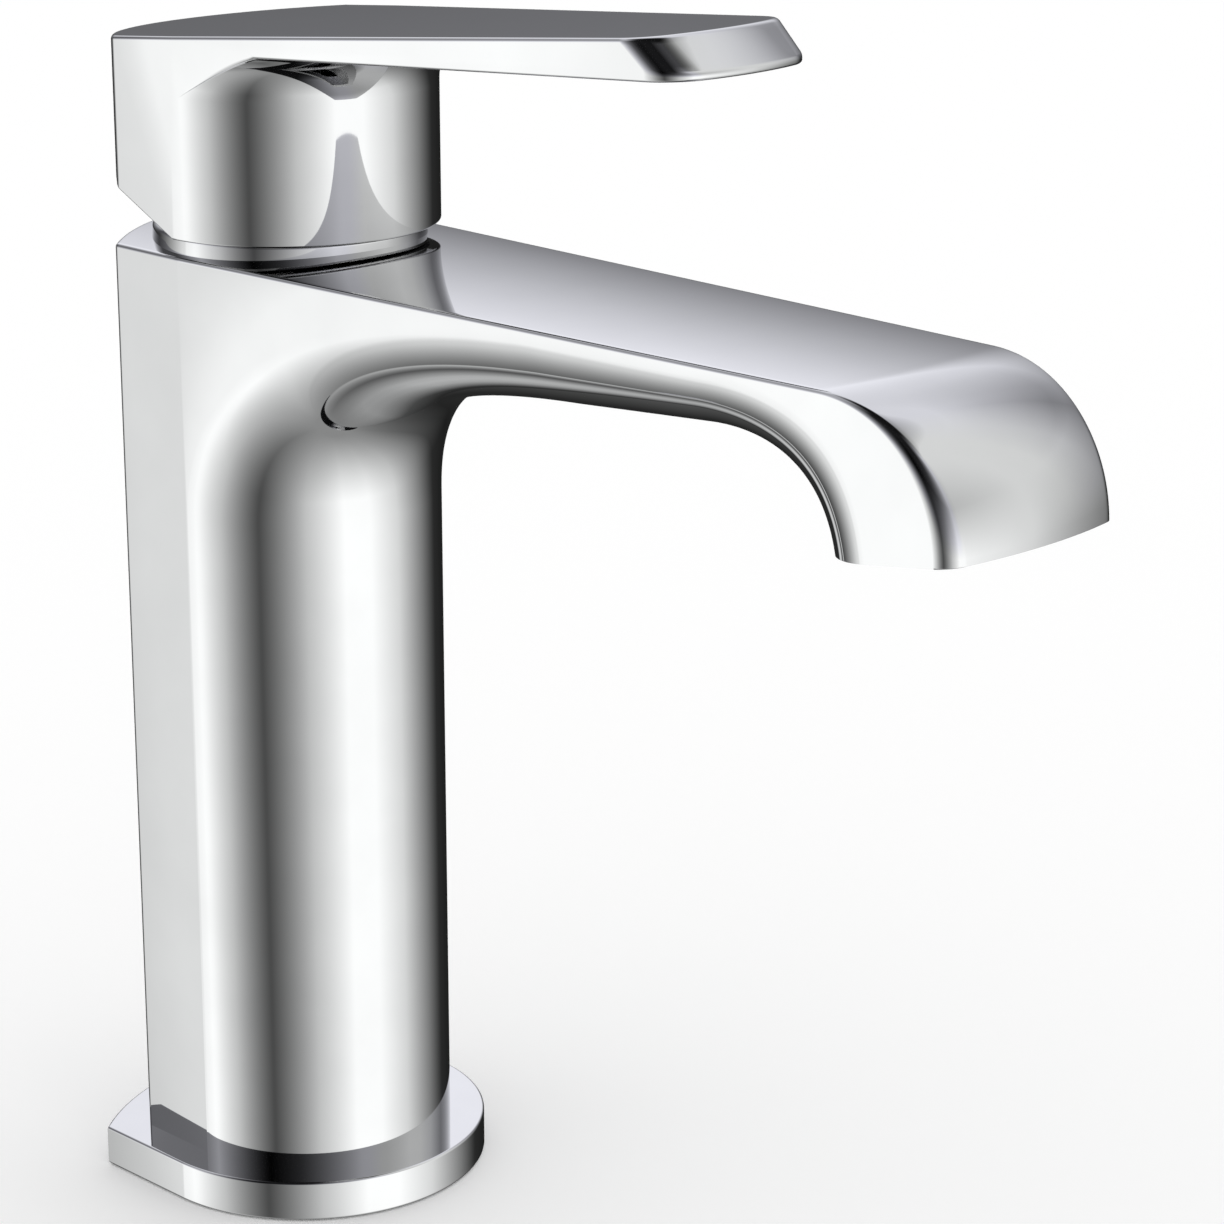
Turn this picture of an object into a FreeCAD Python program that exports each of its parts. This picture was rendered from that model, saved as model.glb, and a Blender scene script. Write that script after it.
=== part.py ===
import FreeCAD, Part
import math
import os
from FreeCAD import Vector

# Single lever basin mixer, in millimetres, +Z up.
# The origin lies on the column axis at the deck surface, and the spout points along +X.

# Column and base plate
column_radius = 20.0        # rounded front of the column
column_corner = 12.6        # back corners, behind the axis
column_back = 20.0          # crown of the back, behind the axis
side_taper = 2.2            # degrees that each flat side leans in, from the axis to the spout tip
body_top = 134.0            # level edges of the column and spout
crown_radius = 195.0        # gentle arch of the top between those edges
base_thickness = 5.7
base_margin = 4.8           # base plate beyond the column, at the front and sides
base_corner = 16.2
base_edge = 0.4             # softened rims of the base plate
base_bore = 16.0            # opening that the hoses and the stud pass through

# Spout
spout_reach = 130.0         # front of the spout, from the column axis
nose_plan_radius = 57.0     # curve of the spout's front, seen from above
nose_radius = 18.5          # curve of the spout's front, seen from the side
outlet_setback = 11.5       # centre of the outlet, behind the front
outlet_drop = 18.7          # outlet face at its centre, below the top edges
outlet_tilt = 8.0           # degrees that the outlet leans forward
outlet_back = 25.0          # rear wall of the outlet, behind the front
neck_height = 35.2          # the column starts to flare this far below the top
neck_length = 42.0          # flare in front of the column
neck_sag = 2.0              # the belly line dips this far below the neck's end before it rises
cove_rise = 14.0            # the flare leaves the column's front this gently
cove_reach = 7.9
flank_rise = 11.6           # the flank leaves the column's side this gently
flank_reach = 9.8
flank_sag = 2.0             # and comes up to the edge from this far below
arm_depth = 12.2            # top to belly where the neck ends
belly_depth = 10.4          # top to belly where the spout bends down
flank_depth = 0.6           # flat edge above the rounded belly
bend_setback = 46.0         # start of the belly's bend, behind the front
bend_reach = 11.0           # the belly runs on this far before it turns down
bend_drop = 2.6
flank_setback = 38.0        # start of the flank's bend, behind the front
flank_run = 14.0            # the flank runs on this far before it turns down
flank_drop = 5.0
flank_end = 13.5            # flank at the outlet, behind the front
bend_lead = 1.0             # both lines come down to the outlet from this far behind it

# Waterways
inlet_offset = 8.0          # hot and cold bores, either side of the axis
inlet_back = 4.0            # and behind it
inlet_radius = 3.5
inlet_thread_radius = 4.5   # M10 x 1 hose thread, at its tapping size
inlet_thread_depth = 14.0
stud_forward = 9.0
stud_radius = 3.4           # M8 stud thread, at its tapping size
stud_depth = 18.0
channel_radius = 3.0        # flat passage along the spout
channel_half_width = 7.0
channel_depth = 5.4         # its middle, below the top
riser_radius = 3.4
riser_drop = 16.5           # where the riser leaves the cartridge bore, below the top
riser_share = 0.6           # length of the riser, as a share of the run to the neck's end

# Cartridge
cavity_radius = 14.2
cavity_depth = 30.0
nut_depth = 11.0            # threaded part of the bore
nut_gap = 0.6               # threaded bore beyond the housing's flange
nut_flange_height = 1.5     # nut above the body
cartridge_clearance = 0.4
thread_clearance = 0.2
disc_clearance = 0.3
base_height = 5.0
housing_wall = 1.4
flange_height = 2.5
flange_ledge = 0.8          # flange beyond the bore
shoulder_depth = 2.0        # rotor's shoulder in the housing, below the flange
groove_depth = 1.0          # middle of the O-ring groove, below the flange
window_half_width = 5.0
neck_wall = 2.0             # housing round the rotor
neck_rise = 0.5             # housing above the body
disc_height = 3.5
moving_height = 3.0
disc_gap = 0.6              # between the fixed disc and the housing
moving_disc_radius = 9.6
carrier_height = 3.8
port_offset = 6.0
port_radius = 2.6
seal_height = 1.5
seal_width = 1.3
ring_section = 0.8          # half thickness of the O-rings
rotor_radius = 10.3
rotor_clearance = 0.1
rotor_rise = 2.8            # rotor above the body
rotor_flange = 1.4
stop_height = 1.1
pivot_drop = 6.0            # the lever tips about a pin this far below the top edges
pivot_radius = 1.5
pivot_clearance = 0.03
pivot_half_length = 9.4
stem_half = 3.4             # square lever stem
stem_grip = 2.0             # stem above the barrel's inside
stem_clearance = 0.4
finger_radius = 1.4
ball_drop = 10.0            # ball end below the pin
ball_radius = 2.2
ball_clearance = 0.15
lift_angle = 25.0           # full lift of the lever, degrees

# Trim ring
trim_wall = 2.75            # round the nut
trim_height = 2.6
trim_lip = 1.0
trim_chamfer = 0.5
trim_clearance = 0.5        # round the rotor

# Handle
barrel_clearance = 0.3      # round the trim ring
barrel_gap = 2.4            # skirt above the body's top edges
barrel_height = 24.4        # skirt to the lever's underside, on the column axis
barrel_wall = 1.5
handle_corner = 10.75
handle_back = 22.0
handle_taper = 5.7          # degrees that each side of the lever leans in, in front of the axis
handle_back_taper = 1.5     # and behind it
bevel_angle = 27.0          # clears the body when the lever is lifted
lever_thickness = 2.2       # on the column axis
lever_top_slope = 5.2
lever_under_slope = 3.05
crown_thickness = 8.0       # top of the lever to the barrel's inside
lever_cove = 7.0            # hollow round between barrel and lever
lever_reach = 84.6
tip_plan_radius = 34.6
tip_angle = 47.0            # degrees that the tip face leans out going down
tip_rim = 0.9               # below the tip face, at the front
tip_corner = 6.0            # round corners of the tip, seen from above
boss_radius = 7.8
boss_rise = 6.1             # boss above the skirt
insert_wall = 1.3
insert_clearance = 0.15
screw_rise = 7.5            # above the boss's end
screw_radius = 2.5
screw_length = 5.6
key_radius = 1.4            # hexagon socket, to its corners
key_depth = 2.8
plug_radius = 3.1
plug_clearance = 0.1

# Aerator
aerator_radius = 8.2
aerator_clearance = 0.1
aerator_length = 8.2
aerator_wall = 1.3
aerator_proud = 0.3         # rim below the outlet face
aerator_seat = 6.2          # water opening above the aerator
core_length = 5.0
core_hole = 0.8
core_pitch = 2.2            # between the rings of holes
screen_height = 0.6
screen_slot = 0.9
screen_pitch = 2.0
screen_setback = 0.9
washer_height = 1.2
washer_clearance = 0.2

# Seals at the deck
gasket_height = 2.0
gasket_inner = 18.0
gasket_outer = 21.5
foot_seal_radius = 17.9
seal_clearance = 0.05

taper = math.tan(math.radians(side_taper))
column_tangent = column_radius * math.sin(math.radians(side_taper))
chamber_radius = cavity_radius - cartridge_clearance - housing_wall
fixed_disc_radius = chamber_radius - disc_gap
flange_radius = cavity_radius + flange_ledge
neck_radius = rotor_radius + rotor_clearance + neck_wall
nut_bore_radius = flange_radius + nut_gap
trim_radius = nut_bore_radius + thread_clearance + trim_wall
barrel_radius = trim_radius + barrel_clearance + barrel_wall
cavity_floor = body_top - cavity_depth
neck_top = body_top + neck_rise
nut_floor = body_top - nut_depth
fixed_disc_floor = cavity_floor + base_height
moving_disc_floor = fixed_disc_floor + disc_height
shoulder = nut_floor - shoulder_depth
carrier_floor = moving_disc_floor + moving_height
rotor_top = body_top + rotor_rise
pivot_height = body_top - pivot_drop
ball_height = pivot_height - ball_drop
ball_travel = ball_drop * math.sin(math.radians(lift_angle))
barrel_bottom = body_top + barrel_gap
lever_under = barrel_bottom + barrel_height
lever_top = lever_under + lever_thickness
handle_roof = lever_top - crown_thickness
stem_top = handle_roof + stem_grip
boss_bottom = barrel_bottom + boss_rise
screw_height = boss_bottom + screw_rise
tip_edge_height = lever_under + lever_reach * math.tan(math.radians(lever_under_slope)) + tip_rim
outlet_x = spout_reach - outlet_setback
outlet_height = body_top - outlet_drop
outlet_slope = math.tan(math.radians(outlet_tilt))
outlet_axis = Vector(math.sin(math.radians(outlet_tilt)), 0, -math.cos(math.radians(outlet_tilt)))
outlet_centre = Vector(outlet_x, 0, outlet_height)
up = Vector(0, 0, 1)
along = Vector(1, 0, 0)
across = Vector(0, 1, 0)
far = 200.0                 # larger than the object, for cutting blocks
cut_margin = 3.0            # how far a cut runs past the face that it opens


def cylinder(radius, bottom, top, x=0.0, y=0.0):
    return Part.makeCylinder(radius, top - bottom, Vector(x, y, bottom), up)


def tube(outer, inner, bottom, top):
    return cylinder(outer, bottom, top).cut(cylinder(inner, bottom, top))


def block(x0, x1, half_width, z0, z1):
    return Part.makeBox(x1 - x0, 2 * half_width, z1 - z0, Vector(x0, -half_width, z0))


def o_ring(radius, section, height):
    return Part.makeTorus(radius, section, Vector(0, 0, height), up)


def fuse(first, *others):
    return first.fuse(list(others)).removeSplitter()


def side(x):
    """Half width between the body's flat sides, which run straight back from the axis."""
    return min(column_radius, column_radius / math.cos(math.radians(side_taper)) - x * taper)


def back_arc(corner, half_width, crown):
    """Centre and radius of a back that passes both corners and its crown."""
    rise = crown - corner
    radius = (half_width ** 2 + rise ** 2) / (2 * rise)
    return radius - crown, radius


def bezier(points, t):
    a, b, c, d = points
    s = 1 - t
    weights = (s ** 3, 3 * s * s * t, 3 * s * t * t, t ** 3)
    return tuple(sum(k * p[i] for k, p in zip(weights, (a, b, c, d))) for i in (0, 1))


def turn_point(radius, lean):
    """How far in front of the axis a flat side starts to lean in, on its way to a round front."""
    return radius * math.tan(math.radians(lean) / 2)


def drop_plan(radius, corner, half, crown, lean, bottom, top):
    """Prism with a round front, flat sides that lean in by lean degrees at the axis, and a crowned back."""
    turn = turn_point(radius, lean)
    tangent_x = radius * math.sin(math.radians(lean))
    tangent_y = radius * math.cos(math.radians(lean))
    left, right = (Vector(-corner, sign * half, bottom) for sign in (-1, 1))
    turn_left, turn_right = (Vector(turn, sign * radius, bottom) for sign in (-1, 1))
    low, high = (Vector(tangent_x, sign * tangent_y, bottom) for sign in (-1, 1))
    edges = [
        Part.LineSegment(left, turn_left).toShape(),
        Part.LineSegment(turn_left, low).toShape(),
        Part.Arc(low, Vector(radius, 0, bottom), high).toShape(),
        Part.LineSegment(high, turn_right).toShape(),
        Part.LineSegment(turn_right, right).toShape(),
        Part.Arc(right, Vector(-crown, 0, bottom), left).toShape(),
    ]
    return Part.Face(Part.Wire(edges)).extrude(up * (top - bottom))


def under_lines():
    """Belly line and flank line of the body in the XZ plane, as matching lists of points."""
    neck_start = body_top - neck_height
    neck_end = column_radius + neck_length
    flank = body_top - flank_depth
    belly_bend = (spout_reach - bend_setback, body_top - belly_depth)
    flank_bend = (spout_reach - flank_setback, flank)
    below_outlet = outlet_height - outlet_slope * (outlet_back - outlet_setback) - cut_margin
    belly_slope = (arm_depth - belly_depth) / (belly_bend[0] - neck_end)
    neck_belly = (
        (column_radius, neck_start),
        (column_radius, neck_start + cove_rise),
        (column_radius + cove_reach, body_top - arm_depth - neck_sag),
        (neck_end, body_top - arm_depth),
    )
    neck_flank = (
        (column_tangent, neck_start),
        (column_tangent, neck_start + flank_rise),
        (column_tangent + flank_reach, flank - flank_sag),
        (neck_end, flank),
    )
    bend_belly = (
        belly_bend,
        (belly_bend[0] + bend_reach, belly_bend[1] + bend_reach * belly_slope),
        (spout_reach - outlet_back - bend_lead, belly_bend[1] - bend_drop),
        (spout_reach - outlet_back, below_outlet),
    )
    bend_flank = (
        flank_bend,
        (flank_bend[0] + flank_run, flank),
        (spout_reach - flank_end - bend_lead, flank - flank_drop),
        (spout_reach - flank_end, below_outlet + outlet_slope * (outlet_back - flank_end)),
    )
    column_steps, neck_steps, arm_steps, bend_steps = 8, 16, 4, 12
    belly, flank_line = [], []
    for i in range(column_steps):
        z = base_thickness + (neck_start - base_thickness) * i / column_steps
        belly.append((column_radius, z))
        flank_line.append((column_tangent, z))
    for i in range(neck_steps):
        belly.append(bezier(neck_belly, i / neck_steps))
        flank_line.append(bezier(neck_flank, i / neck_steps))
    for i in range(arm_steps):
        t = i / arm_steps
        belly.append(tuple(a + (b - a) * t for a, b in zip(neck_belly[3], belly_bend)))
        flank_line.append(tuple(a + (b - a) * t for a, b in zip(neck_flank[3], flank_bend)))
    for i in range(bend_steps + 1):
        belly.append(bezier(bend_belly, i / bend_steps))
        flank_line.append(bezier(bend_flank, i / bend_steps))
    return belly, flank_line


def body_blank():
    """Column, neck and spout: one rounded under surface closed by flat sides and ends."""
    belly, flank = under_lines()
    round_steps = 16
    grid = []
    for (ax, az), (ex, ez) in zip(belly, flank):
        row = []
        for j in range(round_steps + 1):
            angle = math.pi * j / round_steps
            x = ex + (ax - ex) * math.sin(angle)
            z = ez + (az - ez) * math.sin(angle)
            row.append(Vector(x, -side(x) * math.cos(angle), z))
        grid.append(row)
    surface = Part.BSplineSurface()
    surface.interpolate(grid)
    under = surface.toShape()
    back, front, roof = -column_back - cut_margin, spout_reach + cut_margin, body_top + cut_margin
    (fx, fz), (bx, bz) = flank[-1], belly[-1]
    front_z = fz + (front - fx) * (fz - bz) / (fx - bx)

    def rim(test):
        return [e for e in under.Edges if all(test(v.Point) for v in e.Vertexes)]

    def corner(x, z, sign):
        return Vector(x, sign * side(x), z)

    def flat(edges, *runs):
        lines = [Part.LineSegment(a, b).toShape() for a, b in runs]
        return Part.Face(Part.Wire(Part.__sortEdges__(edges + lines)))

    def both(x, z):
        return corner(x, z, -1), corner(x, z, 1)

    near = 1e-6
    foot_edge = rim(lambda p: abs(p.z - base_thickness) < near)
    end_edge = rim(lambda p: p.x > fx - near)
    faces = [under]
    turn = turn_point(column_radius, side_taper)
    foot, back_low = both(column_tangent, base_thickness), both(back, base_thickness)
    tip, front_low = both(fx, fz), both(front, front_z)
    back_high, front_high = both(back, roof), both(front, roof)
    turn_low, turn_high = both(turn, base_thickness), both(turn, roof)
    for i, sign in ((0, -1), (1, 1)):
        flank_edge = [e for e in under.Edges if all(v.Point.y * sign > 1.0 for v in e.Vertexes)]
        faces.append(flat(flank_edge, (tip[i], front_low[i]), (front_low[i], front_high[i]),
                          (front_high[i], turn_high[i]), (turn_high[i], turn_low[i]), (turn_low[i], foot[i])))
        faces.append(flat([], (turn_low[i], turn_high[i]), (turn_high[i], back_high[i]),
                          (back_high[i], back_low[i]), (back_low[i], turn_low[i])))
    faces.append(flat(foot_edge, (foot[0], turn_low[0]), (turn_low[0], back_low[0]), back_low,
                      (back_low[1], turn_low[1]), (turn_low[1], foot[1])))
    faces.append(flat(end_edge, (tip[0], front_low[0]), front_low, (front_low[1], tip[1])))
    for low, high in ((back_low, back_high), (front_low, front_high), (back_high, turn_high),
                      (turn_high, front_high)):
        faces.append(flat([], low, (low[1], high[1]), high, (high[0], low[0])))
    shell = Part.makeShell(faces)
    shell.sewShape()
    return Part.Solid(shell)


def top_arch():
    """Long cylinder whose upper side arches between the body's level top edges."""
    def ridge(x):
        return Vector(x, 0, body_top + crown_radius - math.sqrt(crown_radius ** 2 - side(x) ** 2))

    back, front = ridge(-column_corner), ridge(spout_reach - nose_radius)
    lean = (front - back).normalize()
    start = back - lean * far - up * crown_radius
    return Part.makeCylinder(crown_radius, 3 * far, start, lean)


def body_outline():
    """Crowned back, arched top and rounded nose that trim the body."""
    centre, radius = back_arc(column_corner, side(-column_corner), column_back)
    nose_x = spout_reach - nose_plan_radius
    high = body_top + cut_margin
    back = fuse(cylinder(radius, 0, high, centre), block(centre, nose_x, radius, 0, high))
    nose = cylinder(nose_plan_radius, 0, high, nose_x).common(block(nose_x, spout_reach, radius, 0, high))
    solid = fuse(back, nose).common(top_arch())
    rim = [e for e in solid.Edges if e.BoundBox.XMin > nose_x and e.BoundBox.ZMin > outlet_height]
    return solid.makeFillet(nose_radius, rim)


def outlet_cylinder(radius, depth, end):
    """Cylinder on the outlet axis, from depth inside the outlet face to end beyond it."""
    return Part.makeCylinder(radius, depth + end, outlet_centre - outlet_axis * depth, outlet_axis)


def outlet_tube(outer, inner, depth, end):
    return outlet_cylinder(outer, depth, end).cut(outlet_cylinder(inner, depth, end))


def waterways():
    cuts = []
    for sign in (-1, 1):
        cuts.append(cylinder(inlet_radius, 0, cavity_floor + cut_margin, -inlet_back, sign * inlet_offset))
        thread_top = base_thickness + inlet_thread_depth
        cuts.append(cylinder(inlet_thread_radius, 0, thread_top, -inlet_back, sign * inlet_offset))
    cuts.append(cylinder(stud_radius, 0, base_thickness + stud_depth, stud_forward))
    cuts.append(cylinder(cavity_radius, cavity_floor, body_top))
    cuts.append(cylinder(nut_bore_radius, nut_floor, body_top + cut_margin))
    cuts.append(cylinder(trim_radius + seal_clearance, body_top, body_top + cut_margin))
    start = Vector(cavity_radius - cut_margin, 0, body_top - riser_drop)
    end = Vector(column_radius + neck_length, 0, body_top - channel_depth)
    cuts.append(Part.makeCylinder(riser_radius, (end - start).Length * riser_share, start, end - start))
    channel_z = body_top - channel_depth
    channel_start = start.x + (end.x - start.x) * riser_share - 2 * riser_radius
    cuts.append(block(channel_start, outlet_x, channel_half_width - channel_radius,
                      channel_z - channel_radius, channel_z + channel_radius))
    for sign in (-1, 1):
        edge = Vector(channel_start, sign * (channel_half_width - channel_radius), channel_z)
        cuts.append(Part.makeCylinder(channel_radius, outlet_x - channel_start, edge, along))
    seat = aerator_length - aerator_proud + washer_height
    cuts.append(outlet_cylinder(aerator_radius + aerator_clearance, seat, cut_margin))
    cuts.append(outlet_cylinder(aerator_seat, body_top - channel_depth - outlet_height, 0))
    return cuts


def body():
    blank = body_blank().common(body_outline())
    spout_end = block(outlet_x - outlet_back, far, far, 0, body_top)
    below = half_space(outlet_centre, outlet_tilt, False).common(spout_end)
    return blank.cut([below] + waterways())


def base_plate():
    radius = column_radius + base_margin
    plate = drop_plan(radius, base_corner, radius, column_back + base_margin, side_taper, 0, base_thickness)
    rims = [e for e in plate.Edges if abs(e.Vertexes[0].Z - e.Vertexes[-1].Z) < 1e-6]
    plate = plate.makeFillet(base_edge, rims)
    groove = tube(gasket_outer + seal_clearance, gasket_inner - seal_clearance, 0, gasket_height)
    seal = o_ring(foot_seal_radius, ring_section + seal_clearance, base_thickness - ring_section)
    neck = tube(foot_seal_radius + ring_section, foot_seal_radius - ring_section,
                base_thickness - ring_section, base_thickness)
    return plate.cut([cylinder(base_bore, 0, base_thickness), groove, seal, neck])


def base_gasket():
    return tube(gasket_outer, gasket_inner, 0, gasket_height)


def foot_seal():
    return o_ring(foot_seal_radius, ring_section, base_thickness - ring_section)


def trim_ring():
    top = body_top + trim_height
    ring = cylinder(trim_radius, body_top, top)
    rim = [e for e in ring.Edges if e.isClosed() and math.isclose(e.Vertexes[0].Z, top)]
    ring = ring.makeChamfer(trim_chamfer, rim)
    hollow = cylinder(nut_bore_radius + thread_clearance, body_top, top - trim_lip)
    return ring.cut([hollow, cylinder(rotor_radius + trim_clearance, body_top, top)])


def cartridge_nut():
    outer = nut_bore_radius - thread_clearance
    return tube(outer, neck_radius + disc_clearance, nut_floor + flange_height, body_top + nut_flange_height)


def cartridge_ports(radius, bottom, top):
    return [cylinder(radius, bottom, top, -inlet_back, sign * port_offset) for sign in (-1, 1)]


def cartridge_base():
    base = cylinder(cavity_radius - cartridge_clearance, cavity_floor, fixed_disc_floor)
    seat_radius = port_radius + seal_width + seal_clearance
    seats = cartridge_ports(seat_radius, cavity_floor, cavity_floor + seal_height)
    return base.cut(cartridge_ports(port_radius, cavity_floor, fixed_disc_floor) + seats)


def inlet_seals():
    rings = []
    outers = cartridge_ports(port_radius + seal_width, cavity_floor, cavity_floor + seal_height)
    for outer, bore in zip(outers, cartridge_ports(port_radius, cavity_floor, cavity_floor + seal_height)):
        rings.append(outer.cut(bore))
    return Part.makeCompound(rings)


def fixed_disc():
    disc = cylinder(fixed_disc_radius, fixed_disc_floor, moving_disc_floor)
    return disc.cut(cartridge_ports(port_radius, fixed_disc_floor, moving_disc_floor))


def moving_disc():
    x = -ball_travel / 2
    disc = cylinder(moving_disc_radius, moving_disc_floor, carrier_floor, x)
    hollow = cylinder(moving_disc_radius / 2, moving_disc_floor, carrier_floor - moving_height / 2, x)
    return disc.cut(hollow)


def disc_carrier():
    x = -ball_travel / 2
    plate = cylinder(moving_disc_radius, carrier_floor, carrier_floor + carrier_height, x)
    return plate.cut(cylinder(ball_radius + ball_clearance, carrier_floor, carrier_floor + carrier_height))


def cartridge_housing():
    outer = cavity_radius - cartridge_clearance
    shell = fuse(
        cylinder(outer, fixed_disc_floor, nut_floor),
        cylinder(flange_radius, nut_floor, nut_floor + flange_height),
        cylinder(neck_radius, nut_floor, neck_top),
    )
    ring_radius = cavity_radius - ring_section - seal_clearance
    return shell.cut([
        cylinder(chamber_radius, fixed_disc_floor, shoulder),
        cylinder(rotor_radius + rotor_clearance, shoulder, neck_top),
        o_ring(ring_radius, ring_section + seal_clearance, nut_floor - groove_depth),
        block(0, far, window_half_width, moving_disc_floor, shoulder - rotor_flange),
    ])


def housing_seal():
    return o_ring(cavity_radius - ring_section - seal_clearance, ring_section, nut_floor - groove_depth)


def temperature_stop():
    return tube(neck_radius, rotor_radius + rotor_clearance, neck_top, neck_top + stop_height)


def rotor():
    top = shoulder - rotor_clearance
    barrel = fuse(
        cylinder(rotor_radius, top - rotor_flange, rotor_top),
        cylinder(chamber_radius - disc_clearance, top - rotor_flange, top),
    )
    swing = math.radians(lift_angle)
    rise = max(rotor_top - pivot_height, pivot_height - top + rotor_flange)
    reach = stem_half / math.cos(swing) + rise * math.tan(swing) + stem_clearance
    slot = block(-reach, reach, stem_half + stem_clearance, top - rotor_flange, rotor_top)
    return barrel.cut([slot, pin_cylinder(pivot_radius)])


def pin_cylinder(radius):
    end = Vector(0, -pivot_half_length, pivot_height)
    return Part.makeCylinder(radius, 2 * pivot_half_length, end, across)


def pivot_pin():
    return pin_cylinder(pivot_radius)


def lever_stem():
    shaft_bottom = pivot_height - stem_half - stem_clearance
    stem = fuse(
        block(-stem_half, stem_half, stem_half, shaft_bottom, stem_top),
        cylinder(finger_radius, ball_height, shaft_bottom),
        Part.makeSphere(ball_radius, Vector(0, 0, ball_height)),
    )
    return stem.cut(pin_cylinder(pivot_radius + pivot_clearance))


def half_space(point, angle, above):
    """Block on one side of a plane that rises along +X by angle degrees."""
    slab = Part.makeBox(2 * far, 2 * far, far, Vector(-far, -far, 0 if above else -far))
    slab.rotate(Vector(0, 0, 0), across, -angle)
    slab.translate(point)
    return slab


def handle_half():
    """Half width of the handle at its back corners."""
    length = turn_point(barrel_radius, handle_taper) + handle_corner
    return barrel_radius + length * math.tan(math.radians(handle_back_taper))


def lever_outline(tip_radius, z):
    """Plan of the lever: crowned back, sides that lean in at the axis, and a tip with round corners."""
    lean = math.radians(handle_taper)
    outward = Vector(math.sin(lean), -math.cos(lean), 0)
    forward = Vector(math.cos(lean), math.sin(lean), 0)
    middle = Vector(lever_reach - tip_plan_radius, 0, 0)
    start = outward * (barrel_radius - tip_corner)
    reach = tip_radius - tip_corner
    gap = start - middle
    length = math.sqrt(gap.dot(forward) ** 2 - gap.dot(gap) + reach ** 2) - gap.dot(forward)
    centre = start + forward * length
    out = (centre - middle).normalize()
    near = [
        Vector(-handle_corner, -handle_half(), 0),
        Vector(turn_point(barrel_radius, handle_taper), -barrel_radius, 0),
        centre + outward * tip_corner,
        centre + (outward + out).normalize() * tip_corner,
        centre + out * tip_corner,
    ]
    back, turn, side_end, corner, tip_end = [p + up * z for p in near]
    back_2, turn_2, side_end_2, corner_2, tip_end_2 = [Vector(p.x, -p.y, z) for p in near]
    return Part.Wire([
        Part.LineSegment(back, turn).toShape(),
        Part.LineSegment(turn, side_end).toShape(),
        Part.Arc(side_end, corner, tip_end).toShape(),
        Part.Arc(tip_end, middle + Vector(tip_radius, 0, z), tip_end_2).toShape(),
        Part.Arc(tip_end_2, corner_2, side_end_2).toShape(),
        Part.LineSegment(side_end_2, turn_2).toShape(),
        Part.LineSegment(turn_2, back_2).toShape(),
        Part.Arc(back_2, Vector(-handle_back, 0, z), back).toShape(),
    ])


def lever_form(bottom, top):
    """Whole lever, before its top and underside are cut; the tip face leans out going down to its lower rim."""
    narrow = tip_plan_radius - (top - tip_edge_height) * math.tan(math.radians(tip_angle))
    rim = lever_outline(tip_plan_radius, tip_edge_height)
    below = Part.Face(rim).extrude(up * (bottom - tip_edge_height))
    return fuse(below, Part.makeLoft([rim, lever_outline(narrow, top)], True, True))


def cove():
    """Hollow round where the barrel spreads into the lever's underside."""
    rise = math.radians(45)
    top = lever_under + math.tan(math.radians(lever_under_slope)) * (barrel_radius + lever_cove)
    start = top - lever_cove
    centre = Vector(barrel_radius + lever_cove, 0, start)
    middle = centre + Vector(-math.cos(rise), 0, math.sin(rise)) * lever_cove
    low, high = Vector(barrel_radius, 0, start), Vector(centre.x, 0, top)
    edges = [
        Part.LineSegment(Vector(0, 0, start), low).toShape(),
        Part.Arc(low, middle, high).toShape(),
        Part.LineSegment(high, Vector(0, 0, top)).toShape(),
        Part.LineSegment(Vector(0, 0, top), Vector(0, 0, start)).toShape(),
    ]
    return Part.Face(Part.Wire(edges)).revolve(Vector(0, 0, 0), up, 360)


def handle():
    ceiling = lever_top + lever_reach * math.tan(math.radians(lever_top_slope)) + cut_margin
    form = lever_form(barrel_bottom, ceiling)
    barrel = drop_plan(barrel_radius, handle_corner, handle_half(), handle_back, handle_taper,
                       barrel_bottom, lever_under)
    slab = form.cut(half_space(Vector(0, 0, lever_under), lever_under_slope, False))
    solid = fuse(barrel, slab, cove().common(form))
    solid = solid.cut(half_space(Vector(0, 0, lever_top), lever_top_slope, True))
    solid = solid.cut(half_space(Vector(0, 0, barrel_bottom), -bevel_angle, False).common(
        block(-far, 0, far, 0, ceiling)))
    inner = barrel_radius - barrel_wall
    hollow = cylinder(inner, barrel_bottom - cut_margin, handle_roof)
    solid = solid.cut(hollow.cut(cylinder(boss_radius, boss_bottom, handle_roof)))
    socket = stem_half + insert_clearance + insert_wall
    return solid.cut([
        block(-socket, socket, socket, boss_bottom, stem_top + insert_wall),
        back_hole(screw_radius, 0),
        back_hole(plug_radius + plug_clearance, inner),
    ])


def back_hole(radius, start):
    """Level hole that runs out through the back of the handle."""
    return Part.makeCylinder(radius, far, Vector(-start, 0, screw_height), -along)


def handle_insert():
    outer = stem_half + insert_clearance + insert_wall
    inner = stem_half + insert_clearance
    bush = block(-outer, outer, outer, boss_bottom, stem_top + insert_wall)
    return bush.cut([block(-inner, inner, inner, boss_bottom, stem_top), back_hole(screw_radius, 0)])


def set_screw():
    screw = Part.makeCylinder(screw_radius, screw_length, Vector(-stem_half, 0, screw_height), -along)
    key_x = -stem_half - screw_length + key_depth
    corners = [math.radians(60 * i) for i in range(7)]
    key = Part.makePolygon([
        Vector(key_x, key_radius * math.cos(a), screw_height + key_radius * math.sin(a)) for a in corners])
    return screw.cut(Part.Face(key).extrude(-along * far))


def screw_plug():
    centre, radius = back_arc(handle_corner, handle_half(), handle_back)
    inner = barrel_radius - barrel_wall
    plug = Part.makeCylinder(plug_radius, far, Vector(-inner, 0, screw_height), -along)
    return plug.common(cylinder(radius, 0, far, centre))


def aerator_housing():
    inner = aerator_radius - aerator_wall
    return outlet_tube(aerator_radius, inner, aerator_length - aerator_proud, aerator_proud)


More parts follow.
